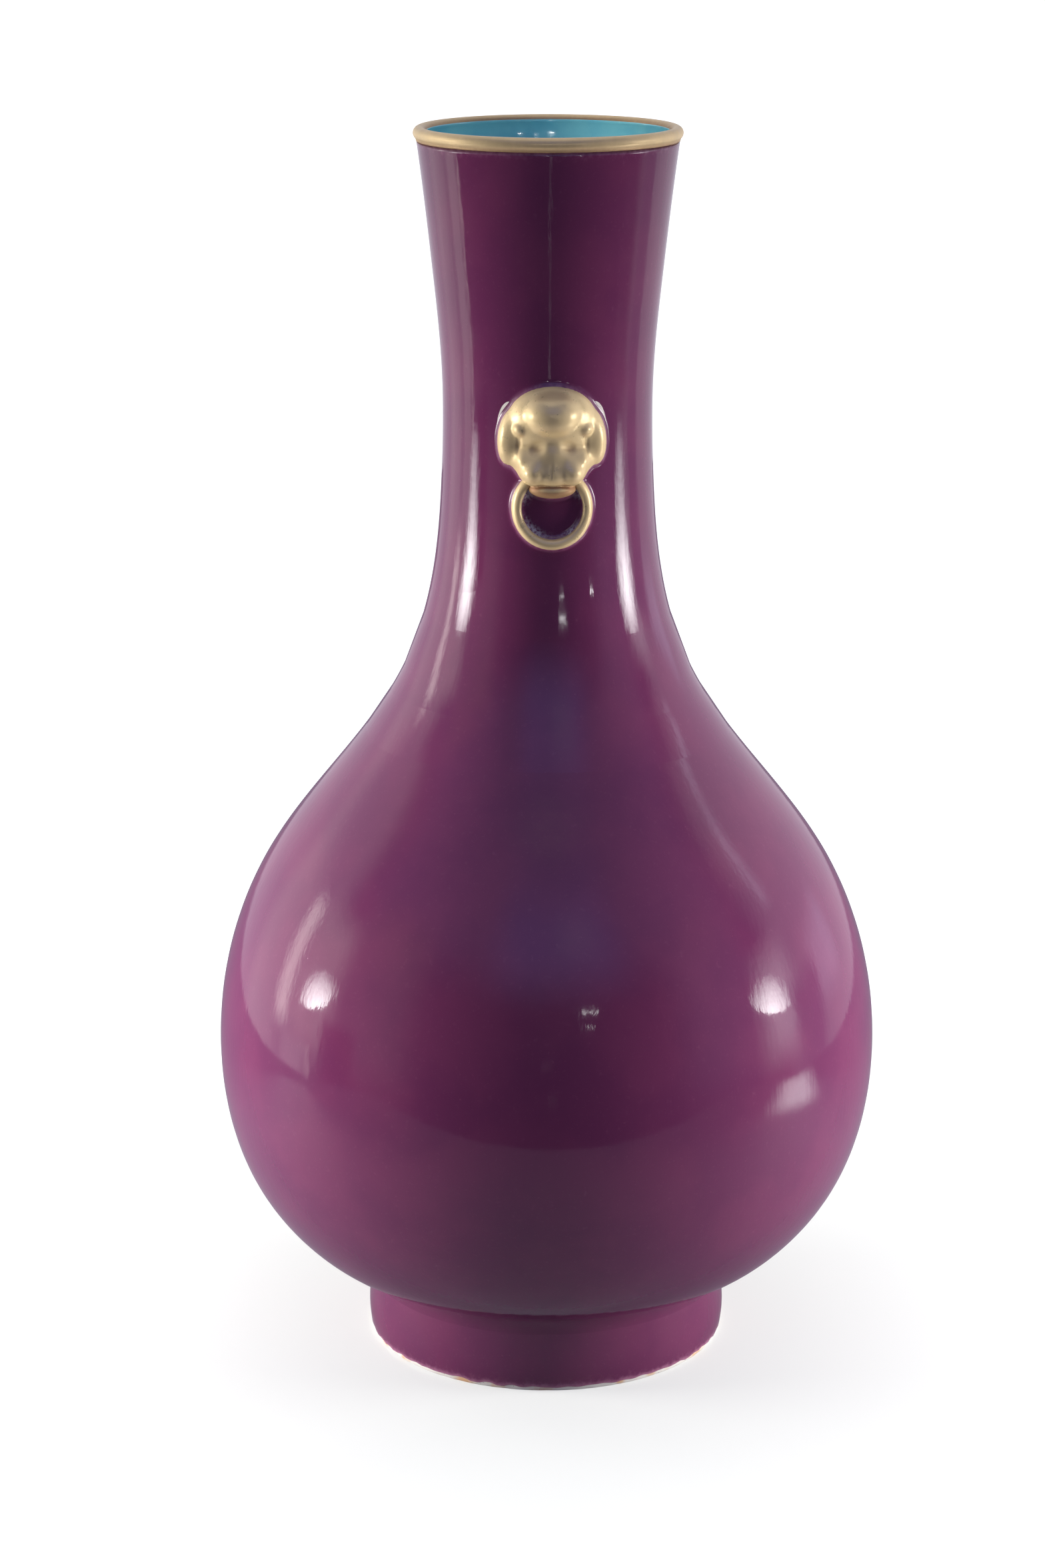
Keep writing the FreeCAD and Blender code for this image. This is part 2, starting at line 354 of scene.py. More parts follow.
# Base colours, linear.
PURPLE = (0.120, 0.0225, 0.066)
PURPLE_DEEP = (0.104, 0.0190, 0.061)
PURPLE_SPECK = (0.16, 0.04, 0.09)
PURPLE_THIN = (0.30, 0.12, 0.19)
CRUST = (0.42, 0.37, 0.40)
TURQUOISE = (0.23, 0.62, 0.64)
TURQUOISE_DEEP = (0.16, 0.52, 0.60)
GOLD = (0.73, 0.55, 0.285)
GOLD_DULL = (0.66, 0.50, 0.26)
# brown of the painted shade on the gilding, in recesses and under and inside the lip
GOLD_SHADE_BROWN = (0.32, 0.17, 0.08)
CLAY = (0.66, 0.62, 0.56)
CLAY_FLASH = (0.60, 0.36, 0.20)
CLAY_SPECK = (0.30, 0.22, 0.16)
SLIP = (0.70, 0.64, 0.56)


def feed(tree, socket, value):
    """Links a socket into an input, or sets the input's own value."""
    if isinstance(value, bpy.types.NodeSocket):
        tree.links.new(value, socket)
    else:
        socket.default_value = value


def calc(tree, operation, *values):
    """Result of a math node on sockets or numbers."""
    node = tree.nodes.new("ShaderNodeMath")
    node.operation = operation
    for socket, value in zip(node.inputs, values):
        feed(tree, socket, value)
    return node.outputs[0]


def mixed(tree, share, first, second):
    """Colour first, or second where share is 1."""
    node = tree.nodes.new("ShaderNodeMix")
    node.data_type = "RGBA"
    feed(tree, node.inputs[0], share)
    for socket, colour in ((node.inputs[6], first), (node.inputs[7], second)):
        feed(tree, socket, colour if isinstance(colour, bpy.types.NodeSocket) else (*colour, 1))
    return node.outputs[2]


def ramp(tree, value, low, high, start=0.0, end=1.0):
    """Smooth step of value between low and high, scaled to start and end."""
    node = tree.nodes.new("ShaderNodeMapRange")
    node.interpolation_type = "SMOOTHSTEP"
    for socket, number in zip(node.inputs, (value, low, high, start, end)):
        feed(tree, socket, number)
    return node.outputs[0]


def noise(tree, size, detail=2.0, stretch=1.0):
    """0 to 1 noise whose lumps are about size metres apart on the object, and stretch times as tall."""
    place = tree.nodes.new("ShaderNodeTexCoord")
    squash = tree.nodes.new("ShaderNodeMapping")
    squash.inputs["Scale"].default_value = (1, 1, 1 / stretch)
    tree.links.new(place.outputs["Object"], squash.inputs["Vector"])
    node = tree.nodes.new("ShaderNodeTexNoise")
    tree.links.new(squash.outputs["Vector"], node.inputs["Vector"])
    node.inputs["Scale"].default_value = 1 / size
    node.inputs["Detail"].default_value = detail
    return node.outputs["Fac"]


def roughened(tree, value, size, detail, amount):
    """A value with noise added that leaves its mean as it is."""
    centred = calc(tree, "SUBTRACT", noise(tree, size, detail), 0.5)
    return calc(tree, "MULTIPLY_ADD", centred, amount, value)


def painted(tree, name):
    """A number painted on the mesh."""
    node = tree.nodes.new("ShaderNodeAttribute")
    node.attribute_name = name
    return node.outputs["Fac"]


def relief(tree, heights):
    """Bump from (height socket, metres) pairs added up."""
    total = 0.0
    for height, depth in heights:
        total = calc(tree, "MULTIPLY_ADD", height, depth, total)
    node = tree.nodes.new("ShaderNodeBump")
    node.inputs["Distance"].default_value = 1.0
    tree.links.new(total, node.inputs["Height"])
    return node.outputs["Normal"]


def surface(name):
    """A new material, with its node tree and its shader."""
    material = bpy.data.materials.new(name)
    material.use_nodes = True
    shader = material.node_tree.nodes["Principled BSDF"]
    return material, material.node_tree, shader


def pits(tree, spacing, radius, share):
    """1 in small round pits: those with one cell in share of the cells of a grid spacing apart."""
    place = tree.nodes.new("ShaderNodeTexCoord")
    cells = tree.nodes.new("ShaderNodeTexVoronoi")
    tree.links.new(place.outputs["Object"], cells.inputs["Vector"])
    cells.inputs["Scale"].default_value = 1 / spacing
    chance = tree.nodes.new("ShaderNodeSeparateColor")
    tree.links.new(cells.outputs["Color"], chance.inputs[0])
    chosen = calc(tree, "LESS_THAN", chance.outputs[0], share)
    near = ramp(tree, cells.outputs["Distance"], 0.5 * radius / spacing, radius / spacing, 1.0, 0.0)
    return calc(tree, "MULTIPLY", chosen, near)


def purple_glaze():
    """Aubergine glaze, pinker where it is thin, with faint mottling, orange peel and a few pits."""
    material, tree, shader = surface("purple_glaze")
    pool = noise(tree, 28 * MM, 3.0)
    body = mixed(tree, ramp(tree, pool, 0.35, 0.65), PURPLE_DEEP, PURPLE)
    speck = ramp(tree, noise(tree, 0.7 * MM, 3.0), 0.62, 0.78, 0.0, 0.5)
    body = mixed(tree, speck, body, PURPLE_SPECK)
    pit = pits(tree, 13 * MM, 0.35 * MM, 0.12)
    body = mixed(tree, calc(tree, "MULTIPLY", pit, 0.6), body, PURPLE_THIN)
    thinness = roughened(tree, painted(tree, "thin"), 1.6 * MM, 2.0, 0.7)
    body = mixed(tree, ramp(tree, thinness, 0.05, 0.95), body, PURPLE_THIN)
    scatter = ramp(tree, noise(tree, 0.9 * MM, 4.0), 0.38, 0.6)
    crumbs = calc(tree, "MULTIPLY", painted(tree, "crust"), scatter)
    body = mixed(tree, crumbs, body, CRUST)
    tree.links.new(body, shader.inputs["Base Color"])
    smear = ramp(tree, noise(tree, 9 * MM, 4.0), 0.3, 0.75, 0.05, 0.10)
    tree.links.new(calc(tree, "MULTIPLY_ADD", crumbs, 0.35, smear), shader.inputs["Roughness"])
    shader.inputs["IOR"].default_value = 1.58
    peel = noise(tree, 2.6 * MM, 1.0)
    runs = noise(tree, 1.5 * MM, 3.0, 7.0)
    heights = [(peel, 0.010 * MM), (runs, 0.030 * MM), (pit, -0.05 * MM), (crumbs, 0.08 * MM)]
    tree.links.new(relief(tree, heights), shader.inputs["Normal"])
    return material


def turquoise_glaze():
    """Opaque turquoise enamel, slightly crawled, over the inside and under the foot."""
    material, tree, shader = surface("turquoise_glaze")
    pool = ramp(tree, noise(tree, 14 * MM, 4.0), 0.3, 0.7)
    tree.links.new(mixed(tree, pool, TURQUOISE_DEEP, TURQUOISE), shader.inputs["Base Color"])
    smear = ramp(tree, noise(tree, 6 * MM, 3.0), 0.3, 0.7, 0.07, 0.13)
    tree.links.new(smear, shader.inputs["Roughness"])
    shader.inputs["IOR"].default_value = 1.55
    tree.links.new(relief(tree, [(noise(tree, 2.2 * MM, 2.0), 0.02 * MM)]), shader.inputs["Normal"])
    return material


def gilding():
    """Satin gilding with brown painted shade in its recesses, brushed and worn a little thin."""
    material, tree, shader = surface("gilding")
    tone = mixed(tree, ramp(tree, noise(tree, 5 * MM, 4.0), 0.3, 0.7), GOLD_DULL, GOLD)
    # Painted shade: browner where the mesh is painted hollow, with a little random wear on top.
    shade_and_wear = roughened(tree, painted(tree, "hollow"), 1.2 * MM, 4.0, 0.16)
    tone = mixed(tree, ramp(tree, shade_and_wear, 0.12, 0.95), tone, GOLD_SHADE_BROWN)
    tree.links.new(tone, shader.inputs["Base Color"])
    shader.inputs["Metallic"].default_value = 0.35
    satin = ramp(tree, noise(tree, 2.5 * MM, 4.0), 0.3, 0.7, 0.27, 0.36)
    satin = calc(tree, "MULTIPLY_ADD", painted(tree, "hollow"), 0.2, satin)
    tree.links.new(satin, shader.inputs["Roughness"])
    grain = [(noise(tree, 0.45 * MM, 3.0), 0.012 * MM), (noise(tree, 2.0 * MM, 2.0), 0.02 * MM)]
    tree.links.new(relief(tree, grain), shader.inputs["Normal"])
    return material


def fired_clay(name, pale, flash, size):
    """Bare fired porcelain clay with orange flashes of the kiln, specks and a sandy grain."""
    material, tree, shader = surface(name)
    tone = mixed(tree, ramp(tree, noise(tree, size, 3.0), 0.5, 0.68), pale, flash)
    speck = ramp(tree, noise(tree, 0.8 * MM, 2.0), 0.68, 0.74)
    tree.links.new(mixed(tree, speck, tone, CLAY_SPECK), shader.inputs["Base Color"])
    shader.inputs["Roughness"].default_value = 0.8
    grain = [(noise(tree, 0.3 * MM, 3.0), 0.03 * MM), (noise(tree, 3 * MM, 3.0), 0.06 * MM)]
    tree.links.new(relief(tree, grain), shader.inputs["Normal"])
    return material


PURPLE_GLAZE = purple_glaze()
TURQUOISE_GLAZE = turquoise_glaze()
GILDING = gilding()
BISCUIT = fired_clay("biscuit", CLAY, CLAY_FLASH, 9 * MM)
BODY_CLAY = fired_clay("body_clay", CLAY, CLAY, 20 * MM)
SLIP_CLAY = fired_clay("slip", SLIP, CLAY, 6 * MM)


# ---- the turned pieces --------------------------------------------------------------------------

FITTING_SPAN = 36.0           # degrees to each side of the front and back that get finer columns


def azimuths(coarse, fine):
    """Azimuths once round in coarse steps, and in fine steps near the masks, both in degrees."""
    near = np.arange(0, FITTING_SPAN, fine)
    far = np.linspace(FITTING_SPAN, 90, int((90 - FITTING_SPAN) / coarse) + 1)
    quarter = np.concatenate([near, far])
    half = np.concatenate([quarter, 180 - quarter[-2::-1]])
    return FRONT + np.radians(np.concatenate([half, 360 - half[-2:0:-1]]))


def lathe(name, grid, material, replaces):
    """A solid of revolution from a grid of points whose rows make a closed section.

    The section runs up the outside and down the inside. One that starts and ends on the axis is closed
    there with fans."""
    rows, columns = grid.shape[:2]
    on_axis = abs(grid[0, :, :2]).max() < 0.001 * MM
    if not on_axis:
        faces = grid_faces(rows, columns, True)
        return mesh_piece(name, grid.reshape(-1, 3), faces, material, replaces)
    inner = grid[1:-1].reshape(-1, 3)
    faces = grid_faces(rows - 2, columns)
    start, end = len(inner), len(inner) + 1
    last = (rows - 3) * columns
    for j in range(columns):
        k = (j + 1) % columns
        faces += [(start, k, j), (end, last + j, last + k)]
    vertices = np.concatenate([inner, grid[0, :1], grid[-1, :1]])
    return mesh_piece(name, vertices, faces, material, replaces)


def waves(azimuth, height, size, seed):
    """Smooth unevenness between 0 and 1 over a turned surface, with rises about size tall."""
    chance = np.random.default_rng(seed)
    total = 0.0
    for _ in range(6):
        turns = chance.integers(1, 6)
        rise = chance.uniform(-1, 1) / size
        total = total + np.sin(turns * azimuth + rise * height + chance.uniform(0, 2 * math.pi))
    return np.clip(0.5 + total / 8, 0, 1)


def ragged(azimuth, seed, turns=(9, 60)):
    """An uneven edge between -1 and 1 round the azimuths."""
    chance = np.random.default_rng(seed)
    total = 0.0
    for _ in range(14):
        total = total + np.sin(chance.integers(*turns) * azimuth + chance.uniform(0, 2 * math.pi))
    return np.clip(total / 4, -1, 1)


GLAZE = 0.5 * MM
MENISCUS = 1.6                # millimetres over which the glaze curves up to a fitting
MENISCUS_TOP = 1.0            # and the most that it rises, in millimetres
CLIMB_SPAN = 38.0             # degrees to each side of a mask within which it may rise
FITTING_LOW = RING_LOW.z - 4 * MM
FITTING_HIGH = MASK_HIGH.z + 4 * MM
LAYING_ROUNDS = 8             # times the glaze is laid against the fittings
CORNER_REACH = 6 * MM         # the glaze pools in the corner over the foot, this far along it
CORNER_ROUNDS = 12            # times the outline is smoothed there
COAT_WAVE = 0.12 * MM         # unevenness of the coat
EDGE_WAVE = 0.35 * MM         # unevenness of its lower edge
EDGE_FADE = 1.2 * MM          # how soon that evens out above it
FOOT_THIN, FOOT_FADE = 0.9, 0.9 * MM      # how thin it is at its lower edge, and how soon that fades
LIP_THIN, LIP_FADE = 0.6, 1.0 * MM        # the same under the lip
CLIMB_THIN, CLIMB_FULL = 0.45, 0.8        # how thin it is where it has risen by the second, in millimetres
# Crust inside the ring: its direction in degrees from +X, its width, and its depth in millimetres.
CRUSTS = ((146, 20, 2.2), (-128, 24, 1.8), (38, 16, 1.6), (-50, 18, 0.8))


def stops(line, step_at):
    """Stations along a line, in steps that depend on the height."""
    at = [0.0]
    while at[-1] < line.length:
        height = float(line(at[-1])[..., 1].ravel()[0])
        at.append(at[-1] + step_at(height))
    at[-1] = line.length
    return line(np.array(at))


def glaze_step(height):
    """Row spacing of the outer glaze: close round the fittings."""
    return (0.5 if FITTING_LOW < height < FITTING_HIGH else 2.2) * MM


def glaze_section():
    """Outside of the purple coat: round its bare edge, up the foot and the body to the lip."""
    edge_radius, edge_height = FOOT_LINE(0.0).ravel()
    turn = np.linspace(-math.pi / 2, math.pi / 2, 7)
    bead = np.stack([edge_radius - GLAZE / 2 + GLAZE / 2 * np.sin(turn),
                     edge_height + GLAZE / 2 - GLAZE / 2 * np.cos(turn)], -1)
    foot_rows = FOOT_LINE(np.arange(0.6 * MM, FOOT_LINE.length, 0.8 * MM))
    body_rows = stops(BODY_LINE, glaze_step)
    corner = np.linspace(foot_rows[-1], body_rows[0], 8)[1:-1]
    line = np.concatenate([foot_rows, corner, body_rows])
    near = np.abs(line[:, 1] - body_rows[0, 1]) < CORNER_REACH
    for _ in range(CORNER_ROUNDS):
        soft = line.copy()
        soft[1:-1] = (line[:-2] + line[1:-1] + line[2:]) / 3
        line = np.where(near[:, None], soft, line)
    return np.concatenate([bead, line])


def climb(points, normals):
    """How far the glaze stands up at each point where it meets a fitting, in millimetres."""
    lift = np.zeros(points.shape[:-1])
    for _ in range(LAYING_ROUNDS):
        distance = fittings_distance(points + lift[..., None] * normals)
        lift = np.clip(lift - smooth_min(lift, distance, MENISCUS), 0, MENISCUS_TOP)
    return lift


def crust_at(points):
    """Crusty thin glaze in corners inside the ring, 0 to 1."""
    x, z = points[..., 0], points[..., 2] - RING_Z
    reach = RING_RADIUS - RING_TUBE - np.hypot(x, z)
    angle = np.degrees(np.arctan2(z, x))
    total = np.zeros(x.shape)
    for middle, width, depth in CRUSTS:
        along = np.exp(-((angle - middle) / width) ** 2)
        total += along * np.clip(1.2 - np.abs(reach - 0.3) / depth, 0, 1)
    return np.clip(total, 0, 1)


def outer_coat():
    """Purple coat: uneven by a few hundredths, climbing the fittings, ragged at the foot."""
    section = glaze_section()
    around = azimuths(2.5, 0.75)
    grid = turned(section, around)
    outward = np.stack([np.cos(around), np.sin(around), 0 * around], -1)[None]
    heights = section[:, 1][:, None]
    above_edge, below_lip = heights - section[0, 1], section[-1, 1] - heights
    grid -= outward * (COAT_WAVE * waves(around[None], heights, 40 * MM, 3))[..., None]
    edge = np.exp(-np.clip(above_edge, 0, None) / EDGE_FADE)
    grid[..., 2] += edge * EDGE_WAVE * ragged(around[None], 5)
    thin = FOOT_THIN * np.exp(-np.clip(above_edge, 0, None) / FOOT_FADE) + 0 * around[None]
    thin += LIP_THIN * np.exp(-np.clip(below_lip, 0, None) / LIP_FADE)
    crust = np.zeros(thin.shape)
    rows = np.where((section[:, 1] > FITTING_LOW) & (section[:, 1] < FITTING_HIGH))[0]
    for side in (1, -1):
        columns = np.where(-outward[0, :, 1] * side > math.cos(math.radians(CLIMB_SPAN)))[0]
        patch = np.ix_(rows, columns)
        turn = np.array([side, side, 1])
        points = grid[patch] / MM * turn
        normals = np.broadcast_to(outward[:, columns] * turn, points.shape)
        lift = climb(points, normals)
        grid[patch] += (lift * MM)[..., None] * outward[:, columns]
        thin[patch] += CLIMB_THIN * np.clip(lift / CLIMB_FULL, 0, 1)
        crust[patch] = crust_at(points)
    back_heights = section[::-12, 1]
    back_radii = np.interp(back_heights, section[:, 1], section[:, 0]) - GLAZE
    back = np.stack([back_radii, back_heights], -1)
    whole = np.concatenate([grid, turned(back[1:-1], around)])
    piece = lathe("purple_coat", whole, PURPLE_GLAZE, ["outer_glaze"])
    none = np.zeros((len(whole) - len(grid), len(around)))
    paint(piece, "thin", np.clip(np.concatenate([thin, none]), 0, 1))
    paint(piece, "crust", np.concatenate([crust, none]))


LIP_LOW, LIP_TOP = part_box("lip_roll")
LIP_ROLL = 2.05 * MM
LIP_CENTRE = LIP_TOP.x - LIP_ROLL
LIP_MIDDLE = LIP_TOP.z - LIP_ROLL
LIP_WAVE = 0.03               # unevenness of the roll, as a share of its radius
# The lip's lower edge, where it meets the coat: millimetres out from the coat and up from the lip's foot.
SKIRT = ((0.02, 0.02), (0.10, 0.35), (0.26, 0.72))
LINING_OVER = 0.10 * MM       # the lining lies this far over the roll of the lip
LINING_UNDER = 0.35 * MM      # and is let into it by this much
LINING_STEP = 3.0 * MM        # spacing of the rows of its wall
LINING_START = 2.6 * MM       # they start this far above the underside of its floor
LINING_STOP = 5.2 * MM        # and stop this far under the top of the lip


def lip_arc(radius, angles):
    """(radius, height) stations on a circle round the middle of the lip's roll, at angles in degrees."""
    turn = np.radians(angles)
    return np.stack([LIP_CENTRE + radius * np.cos(turn), LIP_MIDDLE + radius * np.sin(turn)], -1)


def gilt_lip():
    """The rolled lip, a hand-turned round that is a little uneven, drawn down to meet the coat. Its gold
    is browner all round, with painted shade under the roll and on its inside.
    """
    coat_top = BODY_LINE(BODY_LINE.length).ravel()[0]
    around = azimuths(1.5, 1.5)
    low = LIP_LOW.z
    skirt = np.array([(coat_top + out * MM, low + up * MM) for out, up in SKIRT])
    roll = lip_arc(LIP_ROLL, np.linspace(-38, 200, 34))
    under = [(LIP_CENTRE - 0.6 * LIP_ROLL, low + 0.6 * MM), (LIP_CENTRE, low + 0.1 * MM)]
    section = np.concatenate([skirt, roll, under])
    grid = turned(section, around)
    heart = turned(np.array([(LIP_CENTRE, LIP_MIDDLE)]), around)
    share = np.clip((section[:, 1] - low) / (0.8 * MM), 0, 1)[:, None]
    dents = LIP_WAVE * share * waves(around[None], section[:, 1:], 3 * MM, 11)
    grid = heart + (grid - heart) * (1 - dents)[..., None]
    piece = lathe("gilt_lip", grid, GILDING, ["lip_roll"])
    # Painted shade under the roll and on its inside, over a browner tone all round.
    below = np.clip((LIP_MIDDLE - 0.9 * MM - section[:, 1]) / (1.6 * MM), 0, 1)
    inner = np.clip((LIP_CENTRE - section[:, 0]) / LIP_ROLL, 0, 1) ** 2
    lip_tone_and_shade = 0.3 + 0.45 * np.maximum(below, inner)
    paint(piece, "hollow", lip_tone_and_shade[:, None] + 0 * around[None])


def lining():
    """Turquoise coat: over the floor, up the wall and a little way over the inside of the lip."""
    floor_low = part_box("inner_glaze")[0].z
    floor_height = floor_low + GLAZE
    inside = node_outline("inner_glaze", -1)
    face = Spline(thin_out(inside[inside[:, 1] > floor_low + LINING_START], 9 * MM))
    rows = stops(face, lambda height: LINING_STEP)
    rows = rows[rows[:, 1] < LIP_TOP.z - LINING_STOP]
    over_lip = lip_arc(LIP_ROLL + LINING_OVER, (200, 188, 176, 168, 164))
    under_lip = lip_arc(LIP_ROLL - LINING_UNDER, (164, 200))
    wall_radius, wall_height = rows[0]
    ease = [(wall_radius * share, floor_height + (wall_height - floor_height) * share ** 10)
            for share in (0.4, 0.7, 0.86, 0.93, 0.97)]
    shown = np.concatenate([[(0.0, floor_height)], ease, rows, over_lip])
    hidden = [(r + GLAZE, z) for r, z in rows[::-3]]
    base = [(wall_radius * 0.6, floor_low), (0.0, floor_low)]
    section = np.concatenate([shown, under_lip, hidden, base])[::-1]
    grid = turned(section, azimuths(2.0, 2.0))
    lathe("turquoise_lining", grid, TURQUOISE_GLAZE, ["inner_glaze"])


CHIP = 0.12 * MM              # most that the foot's bare edge is chipped back


def foot():
    """Bare clay foot ring with softened edges and a wheel-trimmed bevel inside."""
    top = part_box("foot_ring")[1].z
    low_radius = FOOT_LINE(0.0).ravel()[0] - GLAZE
    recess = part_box("recess_glaze")[1].x
    outer = FOOT_LINE(np.linspace(0, FOOT_LINE.length, 8)) - np.array([GLAZE, 0])
    rest = [(recess + 1.6 * MM, 0.25 * MM), (recess + 2.0 * MM, 0.05 * MM), (recess + 2.4 * MM, 0.0),
            (low_radius - 1.2 * MM, 0.0)]
    heel = [(low_radius - 0.62 * MM, 0.03 * MM), (low_radius - 0.30 * MM, 0.22 * MM),
            (low_radius - 0.08 * MM, 0.7 * MM)]
    inner = [(recess + 1 * MM, top), (recess, top), (recess, 6 * MM), (recess, 1.6 * MM),
             (recess + 0.2 * MM, 1.1 * MM)]
    section = np.concatenate([rest, heel, outer, inner])
    around = azimuths(1.5, 1.5)
    grid = turned(section, around)
    outward = np.stack([np.cos(around), np.sin(around), 0 * around], -1)[None]
    chip = np.clip(ragged(around, 17, (20, 90)), 0, 1) * CHIP
    grid[len(rest):len(rest) + len(heel)] -= outward * chip[None, :, None]
    lathe("biscuit_foot", grid, BISCUIT, ["foot_ring"])


# ---- the fittings -------------------------------------------------------------------------------

SCULPT_STEP, QUICK_STEP = 0.28, 0.4      # millimetres between the points of a sculpt
MASK_REACH, RING_REACH = 2.6, 1.2        # how far out from them hollowness is judged, in millimetres
SCULPT_MARGIN = 1                        # how much larger than its node a sculpt's box is, all round
RING_HEADROOM = 3                        # and how far the ring's box reaches over the ring


def gilt_fitting(name, distance, low, high, step, reach, painted_shade):
    """A gilt sculpted piece on the front, and the same piece on the back, painted with brown shade in its
    recesses and, on the mask, on the jaw and in the eye sockets.
    """
    vertices, faces = sculpt(distance, low, high, step)
    # Painted shade: the recesses, plus the mask's painted shade on the jaw and eyes.
    hollow = np.clip(hollowness(distance, vertices, reach) + painted_shade(vertices), 0, 1)
    for side, turn in (("front", (1, 1, 1)), ("back", (-1, -1, 1))):
        placed = vertices * np.array(turn) * MM
        piece = mesh_piece(f"{side}_{name}_gilt", placed, faces, GILDING, [f"{side}_{name}"])
        paint(piece, "hollow", hollow)


def fittings():
    """Both masks and both rings, each sculpted in a box a little larger than its node."""
    step = SCULPT_STEP
    mask_low, mask_high = np.array(MASK_LOW) / MM - SCULPT_MARGIN, np.array(MASK_HIGH) / MM + SCULPT_MARGIN
    gilt_fitting("mask", mask_distance, mask_low, mask_high, step, MASK_REACH, mask_painted_shade)
    ring_low, ring_high = np.array(RING_LOW) / MM - SCULPT_MARGIN, np.array(RING_HIGH) / MM + SCULPT_MARGIN
    ring_high[2] = RING_Z + RING_RADIUS + RING_HEADROOM
    gilt_fitting("ring", ring_distance, ring_low, ring_high, step, RING_REACH, lambda points: 0.0)


outer_coat()
gilt_lip()
lining()
foot()
fittings()
SHOWN_NODES = {
    "lower_bowl": BODY_CLAY, "upper_bowl": BODY_CLAY, "neck_tube": BODY_CLAY, "neck_mouth": BODY_CLAY,
    "foot_slip": SLIP_CLAY, "belly_slip": SLIP_CLAY, "shoulder_slip": SLIP_CLAY, "neck_slip": SLIP_CLAY,
    "front_mask_slip": SLIP_CLAY, "back_mask_slip": SLIP_CLAY, "recess_glaze": TURQUOISE_GLAZE,
}
for node_name, node_material in SHOWN_NODES.items():
    shown_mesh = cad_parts[node_name].data
    shown_mesh.materials.clear()
    shown_mesh.materials.append(node_material)


# ---- camera, floor and light --------------------------------------------------------------------

VIEW_TURN = math.radians(-2.5)   # the camera stands this far round from the front
CAMERA_REACH = 1.112             # from the vase's axis
CAMERA_HEIGHT = 0.5009
CAMERA_TILT = math.radians(15.71)
CAMERA_YAW = math.radians(-2.09)
CAMERA_LENS = 81.386


def look():
    """The camera, at the photograph's angle."""
    camera = bpy.data.objects.new("camera", bpy.data.cameras.new("camera"))
    bpy.context.scene.collection.objects.link(camera)
    bpy.context.scene.camera = camera
    camera.data.lens = CAMERA_LENS
    x, y = math.sin(VIEW_TURN) * CAMERA_REACH, -math.cos(VIEW_TURN) * CAMERA_REACH
    camera.location = (x, y, CAMERA_HEIGHT)
    camera.rotation_euler = (math.pi / 2 - CAMERA_TILT, 0, CAMERA_YAW)


def toward(azimuth, elevation):
    """Direction from the vase: azimuth 0 is towards the camera and 90 to its right, in degrees."""
    a, e = math.radians(azimuth) + VIEW_TURN, math.radians(elevation)
    return Vector((math.sin(a) * math.cos(e), -math.cos(a) * math.cos(e), math.sin(e)))


def lamp(name, azimuth, elevation, aim_height, reach, size, power, spread, glossy):
    """A soft light, wide and tall as size, aimed at the axis at a height.

    It shows only in reflections, or else it lights everything but them."""
    light = bpy.data.lights.new(name, "AREA")
    light.shape = "ELLIPSE"
    light.size, light.size_y = size
    light.energy = power
    light.spread = math.radians(spread)
    aim = Vector((0, 0, aim_height))
    lamp_object = bpy.data.objects.new(name, light)
    lamp_object.location = aim + reach * toward(azimuth, elevation)
    lamp_object.rotation_euler = (aim - lamp_object.location).to_track_quat("-Z", "Y").to_euler()
    lamp_object.visible_camera = False
    lamp_object.visible_glossy = glossy
    lamp_object.visible_diffuse = not glossy
    bpy.context.scene.collection.objects.link(lamp_object)


def stage_sheet(name, side, front, back, height, material):
    """A level sheet of the stage, from -side to side and from front to back."""
    corners = [(-side, front), (side, front), (side, back), (-side, back)]
    mesh = bpy.data.meshes.new(name)
    mesh.from_pydata([(x, y, height) for x, y in corners], [], [(0, 1, 2, 3)])
    mesh.materials.append(material)
    sheet = bpy.data.objects.new(name, mesh)
    bpy.context.scene.collection.objects.link(sheet)
    return sheet


def panel(tree, across, along, patch):
    """1 inside a soft-edged rectangle: its middle across and along, its half sizes and its softness."""
    share = 1.0
    soft = patch[4] / 2
    for value, middle, half in ((across, patch[0], patch[2]), (along, patch[1], patch[3])):
        off = calc(tree, "ABSOLUTE", calc(tree, "SUBTRACT", value, middle))
        inside = ramp(tree, off, half - soft, half + soft, 1.0, 0.0)
        share = calc(tree, "MULTIPLY", share, inside)
    return share


def white_table():
    """A white table top with a glowing spot, a painted pool of light, to the right of the vase. It shows
    only in the glaze.
    """
    material, tree, shader = surface("table_white")
    shader.inputs["Base Color"].default_value = (*TABLE_WHITE, 1)
    shader.inputs["Roughness"].default_value = 0.6
    place = tree.nodes.new("ShaderNodeTexCoord")
    parts = tree.nodes.new("ShaderNodeSeparateXYZ")
    tree.links.new(place.outputs["Object"], parts.inputs[0])
    # A painted pool of light that glows on the table.
    spot = panel(tree, parts.outputs["X"], parts.outputs["Y"], TABLE_SPOT)
    shader.inputs["Emission Color"].default_value = (1, 1, 1, 1)
    tree.links.new(calc(tree, "MULTIPLY", spot, TABLE_SPOT_LIGHT), shader.inputs["Emission Strength"])
    table = stage_sheet("table", TABLE_SIDE, TABLE_FRONT, TABLE_BACK, -TABLE_DROP, material)
    table.visible_camera = False


